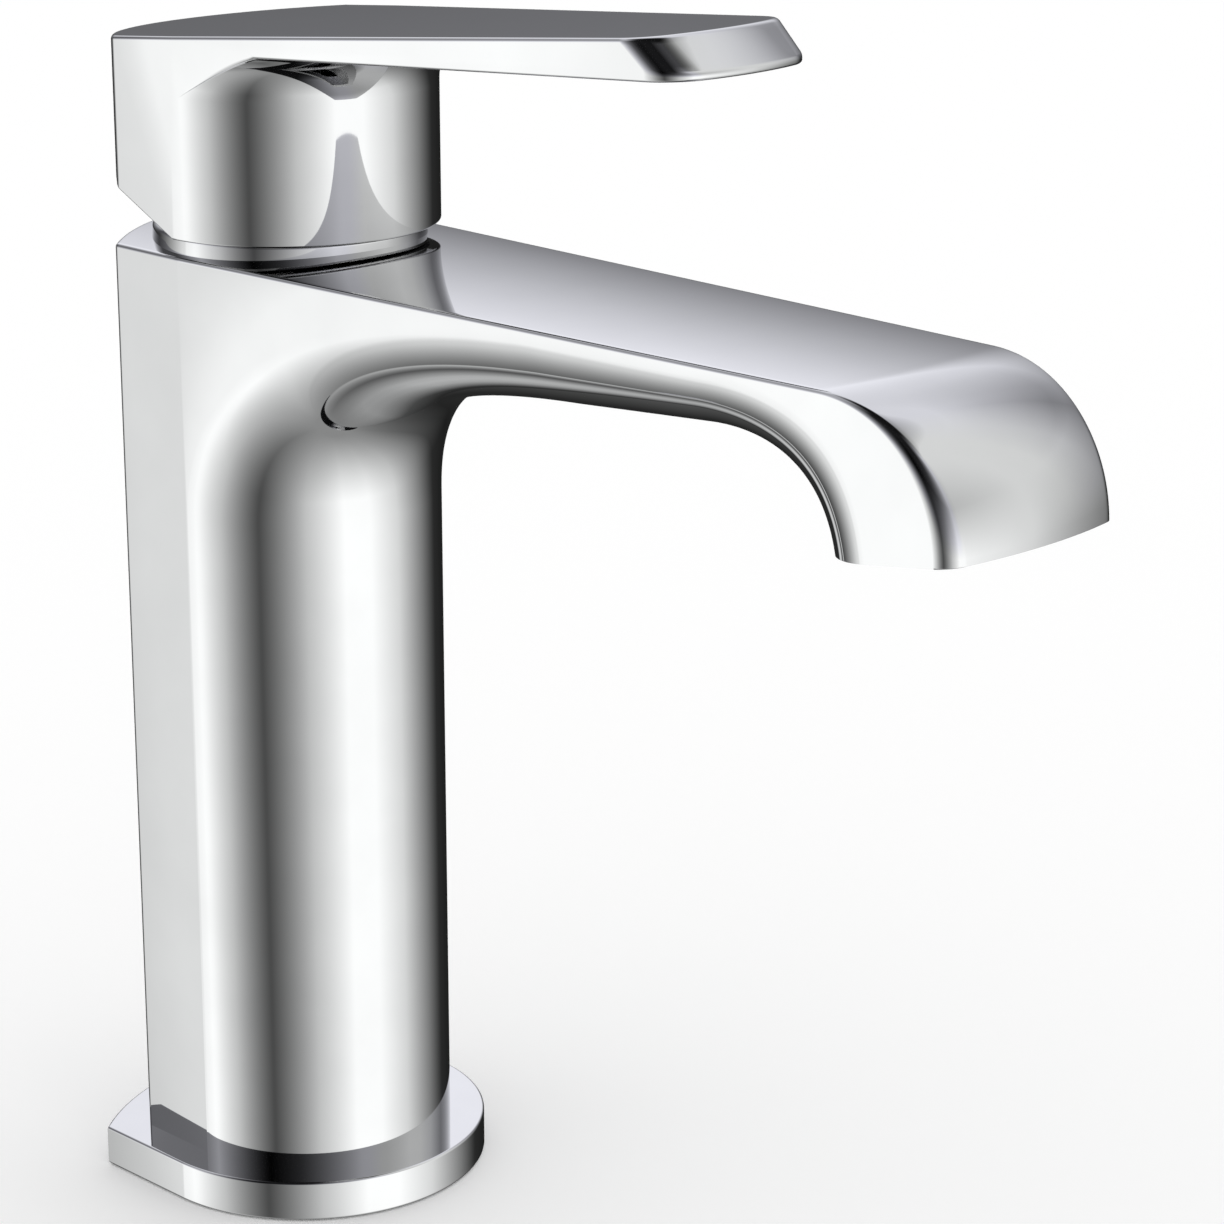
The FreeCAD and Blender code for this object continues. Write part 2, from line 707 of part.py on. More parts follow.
def aerator_core():
    radius = aerator_radius - aerator_wall - aerator_clearance
    depth = aerator_length - aerator_proud
    core = outlet_cylinder(radius, depth, core_length - depth)
    side_way = outlet_axis.cross(across)
    holes = []
    for ring in range(1, int((radius - core_hole) / core_pitch) + 1):
        for i in range(6 * ring):
            angle = math.pi * i / (3 * ring)
            shift = (across * math.cos(angle) + side_way * math.sin(angle)) * (ring * core_pitch)
            hole = outlet_cylinder(core_hole, depth, 0)
            hole.translate(shift)
            holes.append(hole)
    return core.cut(holes)


def aerator_screen():
    radius = aerator_radius - aerator_wall - aerator_clearance
    screen = outlet_cylinder(radius, screen_setback + screen_height, -screen_setback)
    slots = []
    rows = int((radius - screen_pitch / 2) / screen_pitch)
    for i in range(-rows, rows + 1):
        for j in range(-rows, rows + 1):
            if math.hypot(i, j) * screen_pitch + screen_slot < radius - screen_slot / 2:
                slot = Part.makeBox(screen_slot, screen_slot, 4 * screen_height)
                slot.translate(Vector(i * screen_pitch - screen_slot / 2, j * screen_pitch - screen_slot / 2,
                                      -2 * screen_height))
                slot.rotate(Vector(0, 0, 0), across, -outlet_tilt)
                slot.translate(outlet_centre - outlet_axis * screen_setback)
                slots.append(slot)
    return screen.cut(slots)


def aerator_washer():
    depth = aerator_length - aerator_proud
    return outlet_tube(aerator_radius - washer_clearance, aerator_seat, depth + washer_height, -depth)


pieces = (
    body, base_plate, base_gasket, foot_seal, trim_ring,
    cartridge_nut, cartridge_base, inlet_seals, fixed_disc, moving_disc, disc_carrier,
    cartridge_housing, housing_seal, temperature_stop, rotor, pivot_pin,
    lever_stem, handle, handle_insert, set_screw, screw_plug,
    aerator_housing, aerator_core, aerator_screen, aerator_washer,
)

os.makedirs("parts", exist_ok=True)
for piece in pieces:
    shape = piece()
    name = piece.__name__
    shape.exportStep("parts/" + name + ".step")
    print(name, len(shape.Solids), shape.isValid(), round(shape.Volume, 1))
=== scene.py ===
import math

import bmesh
import bpy
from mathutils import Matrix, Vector


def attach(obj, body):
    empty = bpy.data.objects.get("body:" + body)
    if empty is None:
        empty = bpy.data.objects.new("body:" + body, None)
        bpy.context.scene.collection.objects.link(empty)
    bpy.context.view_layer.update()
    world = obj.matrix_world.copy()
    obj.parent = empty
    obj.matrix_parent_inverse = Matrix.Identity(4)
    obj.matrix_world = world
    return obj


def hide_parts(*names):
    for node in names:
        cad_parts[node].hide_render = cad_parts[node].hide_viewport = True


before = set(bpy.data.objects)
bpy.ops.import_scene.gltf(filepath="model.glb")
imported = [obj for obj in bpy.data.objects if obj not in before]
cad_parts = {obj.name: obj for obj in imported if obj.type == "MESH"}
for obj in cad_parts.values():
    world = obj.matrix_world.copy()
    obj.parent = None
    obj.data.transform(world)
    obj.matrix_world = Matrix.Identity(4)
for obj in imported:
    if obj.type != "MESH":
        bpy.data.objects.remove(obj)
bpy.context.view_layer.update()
MM = 0.001

# Sizes shared with the solids, in millimetres; angles are in radians and slopes are tangents.
COLUMN_RADIUS = 20.0
COLUMN_CORNER = 12.6
COLUMN_BACK = 20.0
SIDE_LEAN = math.radians(2.2)
SIDE_TURN = COLUMN_RADIUS * math.tan(SIDE_LEAN / 2)
BODY_TOP = 134.0
CROWN_RADIUS = 195.0
BASE_THICKNESS = 5.7
BASE_MARGIN = 4.8
BASE_CORNER = 16.2
BASE_BORE = 16.0
GROOVE_OUT = 21.55
GROOVE_IN = 17.95
GROOVE_TOP = 2.0
SPOUT_REACH = 130.0
NOSE_PLAN_RADIUS = 57.0
NOSE_RADIUS = 18.5
OUTLET_SETBACK = 11.5
OUTLET_HEIGHT = 115.3
OUTLET_TILT = math.radians(8)
OUTLET_BACK = 25.0
OUTLET_BORE = 8.3
OUTLET_DEPTH = 9.0
NECK_HEIGHT = 35.2
NECK_END = 62.0
NECK_SAG = 2.0
COVE_RISE = 14.0
COVE_REACH = 7.9
ARM_DEPTH = 12.2
BEND_SETBACK = 46.0
BEND_DEPTH = 10.4
BEND_REACH = 11.0
BEND_DROP = 2.6
BEND_LEAD = 1.0
BEND_OVERRUN = 3.0
FLANK_DEPTH = 0.6
FLANK_RISE = 11.6
FLANK_REACH = 9.8
FLANK_SAG = 2.0
FLANK_SETBACK = 38.0
FLANK_RUN = 14.0
FLANK_DROP = 5.0
FLANK_END = 13.5
SEAT_RADIUS = 18.0
SEAT_RIM = 18.25
FOOT_BORES = ((-4.0, -8.0, 4.5, 14.0), (-4.0, 8.0, 4.5, 14.0), (9.0, 0.0, 3.4, 18.0))  # x, y, radius, depth
TRIM_RADIUS = 18.55
TRIM_HEIGHT = 2.6
TRIM_BORE = 15.8
TRIM_LIP = 1.0
TRIM_LIP_BORE = 10.8
BARREL_RADIUS = 20.35
BARREL_BOTTOM = 136.4
BARREL_INSIDE = 18.85
BARREL_ROOF = 155.0
HANDLE_CORNER = 10.75
HANDLE_BACK = 22.0
HANDLE_LEAN = math.radians(5.7)
HANDLE_BACK_LEAN = math.radians(1.5)
HANDLE_TURN = BARREL_RADIUS * math.tan(HANDLE_LEAN / 2)
BEVEL_SLOPE = math.tan(math.radians(27))
LEVER_TOP = 163.0
LEVER_TOP_SLOPE = math.tan(math.radians(5.2))
LEVER_UNDER = 160.8
LEVER_UNDER_SLOPE = math.tan(math.radians(3.05))
LEVER_COVE = 7.0
COVE_CENTRE = BARREL_RADIUS + LEVER_COVE
COVE_START = LEVER_UNDER + LEVER_UNDER_SLOPE * COVE_CENTRE - LEVER_COVE
TIP_CENTRE = 50.0
TIP_RADIUS = 34.6
TIP_CORNER = 6.0
TIP_LEAN = math.tan(math.radians(47))
TIP_EDGE = 166.2
TIP_RISE = 7.0
SCREW_HEIGHT = 150.0
PLUG_RADIUS = 3.1
PLUG_INNER = 17.95

# Fine shapes that the solids don't have. Shoulders are given as steps inwards and below the end face.
TRIM_SHOULDER = ((0.1, 0.75), (0.14, 0.5), (0.26, 0.3), (0.48, 0.08), (0.75, 0.0))
PLUG_SHOULDER = ((0.0, 0.3), (0.08, 0.12), (0.3, 0.0))
PLUG_PROUD = 0.12
PLUG_DOME = 0.05
BODY_BACK_ROUND = 0.5
BODY_EDGE_ROUND = 0.45
MOUTH_ROUND = 2.2
PLATE_LOW_ROUND = 0.4
PLATE_HIGH_ROUND = 0.35
HANDLE_TOP_ROUND = 0.5
HANDLE_BACK_ROUND = 0.4
HEM_ROUND = 0.3
HEM_SIDE_ROUND = 0.25
LEVER_UNDER_ROUND = 0.4
COVE_ROUND = 0.1
TIP_ROUND = 0.35
SHARP = math.radians(30)

# Steps of the grids.
COLUMN_STEPS = 24
NECK_STEPS = 72
ARM_STEPS = 16
BEND_STEPS = 56
ROUND_STEPS = 72
NOSE_STEPS = 40
NOSE_ACROSS = 46
TOP_STEPS = 150
HOLE_STEPS = 64
BORE_STEPS = 40
PLATE_STEPS = 96
PLATE_BACK_STEPS = 40
HANDLE_BACK_STEPS = 32
COVE_SIDE_STEPS = 24
COVE_STEPS = 72
COVE_ROWS = 20
TIP_ROWS = 5
TIP_CORNER_STEPS = 14
TIP_STEPS = 28
TRIM_STEPS = 160
PLUG_STEPS = 48
HALVINGS = 40

# The nose's outermost columns leave room for its rounded edge, which widens towards the mouth.
# Its last row is very short, so that the mouth's flat rim doesn't shade the nose.
NOSE_EDGE_SHARE = 0.06
NOSE_EDGE_GAIN = 0.11
NOSE_LAST_ROW = 0.998


class Skin:
    """Collects the points and faces of one piece, in millimetres, and the radius of each rounded edge."""

    def __init__(self):
        self.points = []
        self.index = {}
        self.faces = []
        self.rounds = {}
        self.creases = []

    def point(self, p):
        key = tuple(round(c, 4) for c in p)
        if key not in self.index:
            self.index[key] = len(self.points)
            self.points.append(p)
        return self.index[key]

    def face(self, *loop):
        ids = []
        for p in loop:
            i = self.point(p)
            if not ids or ids[-1] != i:
                ids.append(i)
        if len(ids) > 2 and ids[0] == ids[-1]:
            ids.pop()
        if len(set(ids)) > 2:
            self.faces.append(ids)

    def grid(self, rows):
        for low, high in zip(rows, rows[1:]):
            for a, b, c, d in zip(low, low[1:], high[1:], high):
                self.face(a, b, c, d)

    def tube(self, rings):
        """Grid through closed rings."""
        self.grid([ring + ring[:1] for ring in rings])

    def lathe(self, profile, steps, centre=(0, 0, 0), axis=(0, 0, 1)):
        z = Vector(axis).normalized()
        x = z.orthogonal().normalized()
        y = z.cross(x)
        rows = []
        for i in range(steps + 1):
            turn = math.tau * (i % steps) / steps
            out = x * math.cos(turn) + y * math.sin(turn)
            rows.append([tuple(Vector(centre) + out * r + z * h) for r, h in profile])
        self.grid(rows)

    def round_edge(self, line, radius):
        """Rounds an edge; radius is a number, or a pair to ease between from its first point to its last."""
        first, last = radius if isinstance(radius, tuple) else (radius, radius)
        for i, (a, b) in enumerate(zip(line, line[1:])):
            key = tuple(sorted((self.point(a), self.point(b))))
            share = i / max(1, len(line) - 2)
            self.rounds[key] = first + (last - first) * share * share * (3 - 2 * share)

    def crease(self, a, b):
        """Keeps a straight edge crisp where two flat faces meet at a small angle."""
        self.creases.append((self.point(a), self.point(b)))

    def build(self, name, fills=(), segments=4):
        """Makes the object; fills are flat faces, each given as an outer loop and the loops of its holes."""
        bm = bmesh.new()
        verts = [bm.verts.new(Vector(p) * MM) for p in self.points]
        for ids in self.faces:
            if not bm.faces.get([verts[i] for i in ids]):
                bm.faces.new([verts[i] for i in ids])
        for loops in fills:
            edges = []
            for loop in loops:
                ids = [self.point(p) for p in loop]
                while len(verts) < len(self.points):
                    verts.append(bm.verts.new(Vector(self.points[len(verts)]) * MM))
                for a, b in zip(ids, ids[1:] + ids[:1]):
                    if a != b:
                        ends = verts[a], verts[b]
                        edges.append(bm.edges.get(ends) or bm.edges.new(ends))
            bmesh.ops.triangle_fill(bm, use_beauty=True, edges=edges)
        bmesh.ops.recalc_face_normals(bm, faces=bm.faces)
        weight = bm.edges.layers.float.new("bevel_weight_edge")
        largest = max(self.rounds.values(), default=1.0)
        for (a, b), radius in self.rounds.items():
            edge = bm.edges.get((verts[a], verts[b]))
            if edge:
                edge[weight] = radius / largest
        for f in bm.faces:
            f.smooth = True
        for edge in bm.edges:
            edge.smooth = edge[weight] > 0 or edge.calc_face_angle(0) < SHARP
        for a, b in self.creases:
            bm.edges.get((verts[a], verts[b])).smooth = False
        mesh = bpy.data.meshes.new(name)
        bm.to_mesh(mesh)
        bm.free()
        piece = bpy.data.objects.new(name, mesh)
        bpy.context.collection.objects.link(piece)
        if self.rounds:
            bevel = piece.modifiers.new("rounded_edges", "BEVEL")
            bevel.limit_method = "WEIGHT"
            bevel.width = largest * MM
            bevel.segments = segments
            bevel.use_clamp_overlap = False
        even = piece.modifiers.new("even_shading", "WEIGHTED_NORMAL")
        even.mode = "FACE_AREA"
        even.keep_sharp = True
        return piece


def spread(first, last, steps):
    return [first + (last - first) * i / steps for i in range(steps + 1)]


def between(p, q, share):
    return tuple(a + (b - a) * share for a, b in zip(p, q))


def bezier(points, t):
    s = 1 - t
    weights = (s ** 3, 3 * s * s * t, 3 * s * t * t, t ** 3)
    return tuple(sum(k * p[i] for k, p in zip(weights, points)) for i in (0, 1))


def halve(low, high, holds):
    """Narrows the range between low, where holds is true, and high, where it is not."""
    for _ in range(HALVINGS):
        middle = (low + high) / 2
        low, high = (middle, high) if holds(middle) else (low, middle)
    return low, high


def circle(radius, centre, steps, x_way=(1, 0, 0), y_way=(0, 1, 0)):
    points = []
    for i in range(steps):
        turn = math.tau * i / steps
        points.append(tuple(Vector(centre) + Vector(x_way) * radius * math.cos(turn)
                            + Vector(y_way) * radius * math.sin(turn)))
    return points


def back_line(corner, half, crown, steps):
    """Plan points of a crowned back, from the near corner to the far one."""
    rise = crown - corner
    radius = (half ** 2 + rise ** 2) / (2 * rise)
    return [(radius - crown - math.sqrt(radius ** 2 - y ** 2), y) for y in spread(-half, half, steps)]


def mirrored(points):
    return [(x, -y, z) for x, y, z in points]


def side(x):
    """Half width between the body's flat sides, which run straight back from the axis."""
    return min(COLUMN_RADIUS, COLUMN_RADIUS / math.cos(SIDE_LEAN) - x * math.tan(SIDE_LEAN))


def arch(x, y):
    """Height of the body's gently arched top."""
    back, front = -COLUMN_CORNER, SPOUT_REACH - NOSE_RADIUS

    def ridge(at):
        return BODY_TOP + CROWN_RADIUS - math.sqrt(CROWN_RADIUS ** 2 - side(at) ** 2)

    height = ridge(back) + (ridge(front) - ridge(back)) * (x - back) / (front - back)
    return height - CROWN_RADIUS + math.sqrt(CROWN_RADIUS ** 2 - y ** 2)


def outlet_plane(x):
    return OUTLET_HEIGHT + math.tan(OUTLET_TILT) * (x - SPOUT_REACH + OUTLET_SETBACK)


def nose_point(down, turn):
    """Point on the rounded nose: down runs from the top to the outlet, turn is the plan angle."""
    ring = NOSE_PLAN_RADIUS - NOSE_RADIUS
    axis = SPOUT_REACH - NOSE_PLAN_RADIUS

    def plan(tip):
        reach = ring + NOSE_RADIUS * math.sin(tip)
        return axis + reach * math.cos(turn), reach * math.sin(turn)

    start = 0.0
    for _ in range(4):
        x, y = plan(start)
        step = 0.01
        fall = arch(x, y) - arch(x + step * math.cos(turn), y + step * math.sin(turn))
        start = math.atan2(fall, step)
    x, y = plan(start)
    centre = arch(x, y) - NOSE_RADIUS * math.cos(start)

    def height(tip):
        return centre + NOSE_RADIUS * math.cos(tip)

    end = halve(start, math.pi / 2, lambda tip: height(tip) > outlet_plane(plan(tip)[0]))[0]
    tip = start + (end - start) * down
    x, y = plan(tip)
    return x, y, height(tip)


def nose_row(down, shares):
    """Points across the nose, from the near flat side to the far one."""
    turn = 0.3
    for _ in range(30):
        x, y = nose_point(down, turn)[:2]
        reach = math.hypot(x - SPOUT_REACH + NOSE_PLAN_RADIUS, y)
        turn = math.asin(side(x) / reach)
    return [nose_point(down, turn * share) for share in shares]


def under_rows():
    """The rounded column front, neck, belly and inside of the bend, from the foot to the outlet."""
    tangent = COLUMN_RADIUS * math.sin(SIDE_LEAN)
    neck_start = BODY_TOP - NECK_HEIGHT
    flank = BODY_TOP - FLANK_DEPTH
    arm = BODY_TOP - ARM_DEPTH
    bend_x, bend_z = SPOUT_REACH - BEND_SETBACK, BODY_TOP - BEND_DEPTH
    flank_x = SPOUT_REACH - FLANK_SETBACK
    rise = (bend_z - arm) / (bend_x - NECK_END)
    outlet_x = SPOUT_REACH - OUTLET_BACK
    below = outlet_plane(outlet_x) - BEND_OVERRUN
    neck_belly = ((COLUMN_RADIUS, neck_start), (COLUMN_RADIUS, neck_start + COVE_RISE),
                  (COLUMN_RADIUS + COVE_REACH, arm - NECK_SAG), (NECK_END, arm))
    neck_flank = ((tangent, neck_start), (tangent, neck_start + FLANK_RISE),
                  (tangent + FLANK_REACH, flank - FLANK_SAG), (NECK_END, flank))
    bend_belly = ((bend_x, bend_z), (bend_x + BEND_REACH, bend_z + BEND_REACH * rise),
                  (outlet_x - BEND_LEAD, bend_z - BEND_DROP), (outlet_x, below))
    bend_flank = ((flank_x, flank), (flank_x + FLANK_RUN, flank),
                  (SPOUT_REACH - FLANK_END - BEND_LEAD, flank - FLANK_DROP),
                  (SPOUT_REACH - FLANK_END, below + math.tan(OUTLET_TILT) * (OUTLET_BACK - FLANK_END)))
    turns = spread(0, math.pi, ROUND_STEPS)

    def section(belly, flank_point, turn):
        x, z = between(flank_point, belly, math.sin(turn))
        return x, -side(x) * math.cos(turn), z

    def bend_point(t, turn):
        return section(bezier(bend_belly, t), bezier(bend_flank, t), turn)

    def above_outlet(t, turn):
        x, _, z = bend_point(t, turn)
        return z > outlet_plane(x)

    pairs = [((COLUMN_RADIUS, z), (tangent, z))
             for z in spread(BASE_THICKNESS, neck_start, COLUMN_STEPS)[:-1]]
    pairs += [(bezier(neck_belly, t), bezier(neck_flank, t)) for t in spread(0, 1, NECK_STEPS)[:-1]]
    pairs += [(between(neck_belly[-1], bend_belly[0], t), between(neck_flank[-1], bend_flank[0], t))
              for t in spread(0, 1, ARM_STEPS)[:-1]]
    rows = [[section(belly, flank_point, turn) for turn in turns] for belly, flank_point in pairs]
    ends = [halve(0.0, 1.0, lambda t: above_outlet(t, turn))[0] for turn in turns]
    for share in spread(0, 1, BEND_STEPS):
        rows.append([bend_point(share * end, turn) for turn, end in zip(turns, ends)])
    return rows


def body_top(back, front, steps):
    """Rows of the arched top, from the back to the nose; points inside the trim ring's seat are None."""
    top = []
    for t in steps:
        row = []
        for (bx, by), (nx, ny, nz) in zip(back, front):
            x = bx + (nx - bx) * t
            y = side(x) * (by / side(bx) * (1 - t) + ny / side(nx) * t)
            row.append((x, y, arch(x, y) if t < 1 else nz))
        top.append([None if math.hypot(x, y) < SEAT_RADIUS else (x, y, z) for x, y, z in row])
    rim = {}
    for j in range(1, len(top) - 1):
        for k in range(1, len(back) - 1):
            around = [top[j + a][k + b] for a in (-1, 0, 1) for b in (-1, 0, 1)]
            if top[j][k] and None in around:
                x, y, _ = top[j][k]
                scale = SEAT_RIM / math.hypot(x, y)
                rim[j, k] = (x * scale, y * scale, arch(x * scale, y * scale))
    for (j, k), p in rim.items():
        top[j][k] = p
    return top


def faucet_body():
    skin = Skin()
    under = under_rows()
    nose = []
    for down in spread(0, 1, NOSE_STEPS)[:-1] + [NOSE_LAST_ROW, 1]:
        share = 1 - (NOSE_EDGE_SHARE + NOSE_EDGE_GAIN * down)
        nose.append(nose_row(down, [-1] + spread(-share, share, NOSE_ACROSS) + [1]))
    back = back_line(COLUMN_CORNER, side(-COLUMN_CORNER), COLUMN_BACK, len(nose[0]) - 1)
    back_low = [(x, y, BASE_THICKNESS) for x, y in back]
    back_x, nose_x = back[0][0], nose[0][0][0]
    turn_at = (SIDE_TURN - back_x) / (nose_x - back_x)
    steps = sorted(spread(0, 1, TOP_STEPS) + [turn_at])
    top = body_top(back, nose[0], steps)
    skin.grid(under)
    skin.grid(nose)
    skin.grid([back_low, top[0]])
    for low, high in zip(top, top[1:]):
        for corners in zip(low, low[1:], high[1:], high):
            if None not in corners:
                skin.face(*corners)
    turn_low = (SIDE_TURN, -COLUMN_RADIUS, BASE_THICKNESS)
    turn_row = steps.index(turn_at)
    edge_line = [row[0] for row in top]
    nose_line = [row[0] for row in nose]
    near_back = [back_low[0]] + edge_line[:turn_row + 1] + [turn_low]
    near_front = [turn_low] + edge_line[turn_row:] + nose_line[1:] + [row[0] for row in under[::-1]]
    for near in (near_back, near_front):
        skin.face(*near)
        skin.face(*mirrored(near)[::-1])
    for mirror in (list, mirrored):
        skin.crease(*mirror([turn_low, edge_line[turn_row]]))
        skin.round_edge(mirror([back_low[0], top[0][0]]), BODY_BACK_ROUND)
        skin.round_edge(mirror(edge_line), BODY_EDGE_ROUND)
        skin.round_edge(mirror(nose_line), (BODY_EDGE_ROUND, MOUTH_ROUND))
    skin.round_edge(top[0], BODY_BACK_ROUND)
    mouth = nose[-1] + under[-1][::-1][1:-1]
    centre = (SPOUT_REACH - OUTLET_SETBACK, 0, OUTLET_HEIGHT)
    along = (math.cos(OUTLET_TILT), 0, math.sin(OUTLET_TILT))
    inward = Vector((-math.sin(OUTLET_TILT), 0, math.cos(OUTLET_TILT)))
    hole = circle(OUTLET_BORE, centre, HOLE_STEPS, along)
    skin.tube([hole, [tuple(Vector(p) + inward * OUTLET_DEPTH) for p in hole]])
    foot = under[0] + mirrored([turn_low]) + back_low[::-1] + [turn_low]
    bores = []
    for x, y, radius, depth in FOOT_BORES:
        low = circle(radius, (x, y, BASE_THICKNESS), BORE_STEPS)
        high = [(px, py, pz + depth) for px, py, pz in low]
        skin.tube([low, high])
        skin.face(*high)
        bores.append(low)
    return skin.build("faucet_body", [[mouth, hole], [foot] + bores], segments=8)


def lever_half(x):
    """Half width of the handle, whose sides lean in more in front of the axis."""
    if x < HANDLE_TURN:
        return BARREL_RADIUS + (HANDLE_TURN - x) * math.tan(HANDLE_BACK_LEAN)
    return BARREL_RADIUS / math.cos(HANDLE_LEAN) - x * math.tan(HANDLE_LEAN)


def lever_top(x):
    return LEVER_TOP + LEVER_TOP_SLOPE * x


def lever_under(x):
    return LEVER_UNDER + LEVER_UNDER_SLOPE * x


def tip_plan(radius):
    """Plan points round the tip and its two round corners, from the near flat side to the far one."""
    outward = Vector((math.sin(HANDLE_LEAN), -math.cos(HANDLE_LEAN)))
    forward = Vector((math.cos(HANDLE_LEAN), math.sin(HANDLE_LEAN)))
    middle = Vector((TIP_CENTRE, 0))
    start = outward * (BARREL_RADIUS - TIP_CORNER)
    gap = start - middle
    along = gap.dot(forward)
    centre = start + forward * (math.sqrt(along ** 2 - gap.dot(gap) + (radius - TIP_CORNER) ** 2) - along)
    first = HANDLE_LEAN - math.pi / 2
    last = math.atan2(centre.y, centre.x - TIP_CENTRE)
    near = [(centre.x + TIP_CORNER * math.cos(a), centre.y + TIP_CORNER * math.sin(a))
            for a in spread(first, last, TIP_CORNER_STEPS)]
    face = [(TIP_CENTRE + radius * math.cos(a), radius * math.sin(a))
            for a in spread(last, -last, TIP_STEPS)[1:-1]]
    return near + face + [(x, -y) for x, y in near[::-1]]


def tip_rows():
    """Rows across the slanted tip face, from its lower rim up to the lever's top."""
    columns = []
    for (x, y), (hx, hy) in zip(tip_plan(TIP_RADIUS), tip_plan(TIP_RADIUS - TIP_RISE * TIP_LEAN)):
        end = (lever_top(x) - TIP_EDGE) / (TIP_RISE - LEVER_TOP_SLOPE * (hx - x))
        columns.append([(*between((x, y), (hx, hy), t), TIP_EDGE + TIP_RISE * t)
                        for t in spread(0, end, TIP_ROWS)])
    return [list(row) for row in zip(*columns)]


def cove_point(turn, t):
    """Point on the hollow round between the barrel's wall and the lever: turn is the plan angle."""
    reach = COVE_CENTRE - LEVER_COVE * math.cos(t)
    return reach * math.cos(turn), reach * math.sin(turn), COVE_START + LEVER_COVE * math.sin(t)


def cove_end(turn):
    """Where the hollow round ends, and whether it ends on a flat side rather than on the underside."""
    def inside(t):
        x, y, z = cove_point(turn, t)
        return z < lever_under(x) and abs(y) < lever_half(x)

    end = halve(0.0, math.pi / 2, inside)[0]
    x, y, _ = cove_point(turn, end)
    return end, abs(y) > lever_half(x) - 0.001


def mixer_handle():
    skin = Skin()
    last = math.pi / 2 - HANDLE_LEAN
    corner = halve(0.2, last, lambda turn: not cove_end(turn)[1])[1]
    turns = (spread(-last, -corner, COVE_SIDE_STEPS) + spread(-corner, corner, COVE_STEPS)[1:-1]
             + spread(corner, last, COVE_SIDE_STEPS))
    wall_low, wall_high, cove = [], [], []
    for turn in turns:
        x, y = BARREL_RADIUS * math.cos(turn), BARREL_RADIUS * math.sin(turn)
        wall_low.append((x, y, BARREL_BOTTOM))
        wall_high.append((x, y, COVE_START))
        end = cove_end(turn)[0] if abs(turn) < last - 1e-6 else 0.0
        cove.append([cove_point(turn, t) for t in spread(0, end, COVE_ROWS)])
    skin.grid([wall_low, wall_high])
    skin.grid(cove)
    cove_rim = [column[-1] for column in cove]
    rim_near = cove_rim[:COVE_SIDE_STEPS + 1][::-1]
    rim_under = cove_rim[COVE_SIDE_STEPS:-COVE_SIDE_STEPS]
    tip = tip_rows()
    rim = [(x, y, lever_under(x)) for x, y, _ in tip[0]]
    skin.grid(tip)
    skin.grid([rim, tip[0]])
    skin.face(*(rim_under + rim[::-1]))
    back = back_line(HANDLE_CORNER, lever_half(-HANDLE_CORNER), HANDLE_BACK, HANDLE_BACK_STEPS)
    back_low = [(x, y, BARREL_BOTTOM - BEVEL_SLOPE * x) for x, y in back]
    back_high = [(x, y, lever_top(x)) for x, y in back]
    skin.grid([back_low, back_high])
    hip = (0, -lever_half(0), BARREL_BOTTOM)
    turn_low = (HANDLE_TURN, -BARREL_RADIUS, BARREL_BOTTOM)
    turn_high = (HANDLE_TURN, -BARREL_RADIUS, lever_top(HANDLE_TURN))
    skin.face(*(back_high + mirrored([turn_high]) + tip[-1][::-1] + [turn_high]))
    near_back = [back_low[0], back_high[0], turn_high, turn_low, hip]
    near_front = [turn_low, turn_high] + [row[0] for row in tip[::-1]] + [rim[0]] + rim_near + [wall_low[0]]
    for near in (near_back, near_front):
        skin.face(*near)
        skin.face(*mirrored(near)[::-1])
    skirt = wall_low + mirrored([turn_low, hip]) + back_low[::-1] + [hip, turn_low]
    inner, roof = [], []
    for x, y, _ in skirt:
        turn = math.atan2(y, x)
        ix, iy = BARREL_INSIDE * math.cos(turn), BARREL_INSIDE * math.sin(turn)
        inner.append((ix, iy, BARREL_BOTTOM - BEVEL_SLOPE * min(ix, 0)))
        roof.append((ix, iy, BARREL_ROOF))
    skin.tube([skirt, inner, roof])
    skin.face(*roof)
    for mirror in (list, mirrored):
        skin.round_edge(mirror([back_low[0], back_high[0]]), HANDLE_BACK_ROUND)
        skin.crease(*mirror([turn_low, turn_high]))
        skin.round_edge(mirror([back_high[0], turn_high, tip[-1][0]]), HANDLE_TOP_ROUND)
        skin.round_edge(mirror([rim[0], rim_near[0]]), LEVER_UNDER_ROUND)
        skin.round_edge(mirror(rim_near), (LEVER_UNDER_ROUND, COVE_ROUND))
        skin.round_edge(mirror([wall_low[0], turn_low, hip, back_low[0]]), HEM_SIDE_ROUND)
    skin.round_edge(back_high, HANDLE_TOP_ROUND)
    skin.round_edge(back_low, HEM_ROUND)
    skin.round_edge(wall_low, HEM_ROUND)
    skin.round_edge(tip[-1], HANDLE_TOP_ROUND)
    skin.round_edge(tip[0], TIP_ROUND)
    skin.round_edge(rim, LEVER_UNDER_ROUND)
    return skin.build("mixer_handle")


